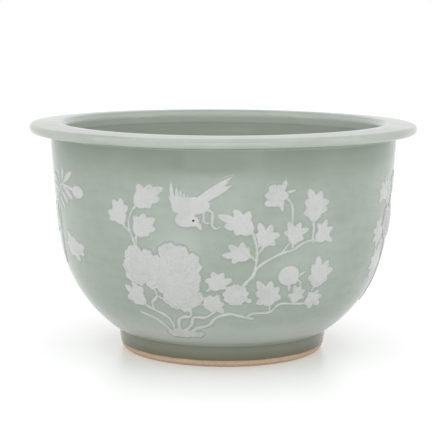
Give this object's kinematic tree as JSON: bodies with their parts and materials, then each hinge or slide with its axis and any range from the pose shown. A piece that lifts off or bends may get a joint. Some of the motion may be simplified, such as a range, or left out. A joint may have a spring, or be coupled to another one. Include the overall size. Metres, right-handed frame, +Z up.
{
  "type": "jardiniere",
  "caption": "Wide round porcelain planter with a flanged rim, a foot ring and raised bird-and-peony slip relief under a pale green glaze.",
  "frame": {"origin": "centre of the foot ring, on the surface that it stands on", "axes": "+Z up along the bowl's axis; -Y towards the front of the decoration; +X to its right"},
  "size_m": [0.3599, 0.36, 0.2135],
  "materials": {
    "celadon_glaze": "glossy pale green celadon glaze over porcelain; bare buff clay at the foot's edge",
    "white_slip": "white slip under the same glossy glaze",
    "iron_black": "dark iron brown-black dot under the glaze"
  },
  "bodies": {
    "root": {"back_bird": "white_slip", "back_bird_eye": "iron_black", "back_blossom_stalk": "white_slip", "back_bud_stalk": "white_slip", "back_far_right_leaves": "white_slip", "back_low_left_leaf": "white_slip", "back_low_middle_leaves": "white_slip", "back_low_right_leaf": "white_slip", "back_lower_branch": "white_slip", "back_main_stems": "white_slip", "back_middle_leaves": "white_slip", "back_open_blossom": "white_slip", "back_peony_left": "white_slip", "back_peony_lower": "white_slip", "back_peony_right": "white_slip", "back_right_leaves": "white_slip", "back_rockwork": "white_slip", "back_round_bud": "white_slip", "back_twig": "white_slip", "back_twig_leaves": "white_slip", "back_upper_branch": "white_slip", "bowl": "celadon_glaze", "foot_ring": "celadon_glaze", "front_bird": "white_slip", "front_bird_eye": "iron_black", "front_blossom_stalk": "white_slip", "front_bud_stalk": "white_slip", "front_far_right_leaves": "white_slip", "front_low_left_leaf": "white_slip", "front_low_middle_leaves": "white_slip", "front_low_right_leaf": "white_slip", "front_lower_branch": "white_slip", "front_main_stems": "white_slip", "front_middle_leaves": "white_slip", "front_open_blossom": "white_slip", "front_peony_left": "white_slip", "front_peony_lower": "white_slip", "front_peony_right": "white_slip", "front_right_leaves": "white_slip", "front_rockwork": "white_slip", "front_round_bud": "white_slip", "front_twig": "white_slip", "front_twig_leaves": "white_slip", "front_upper_branch": "white_slip", "left_broad_leaves": "white_slip", "left_bud": "white_slip", "left_narrow_leaves": "white_slip", "left_twig": "white_slip", "right_peony": "white_slip", "right_spray_leaves": "white_slip", "right_twig": "white_slip", "rim": "celadon_glaze"}
  },
  "joints": []
}
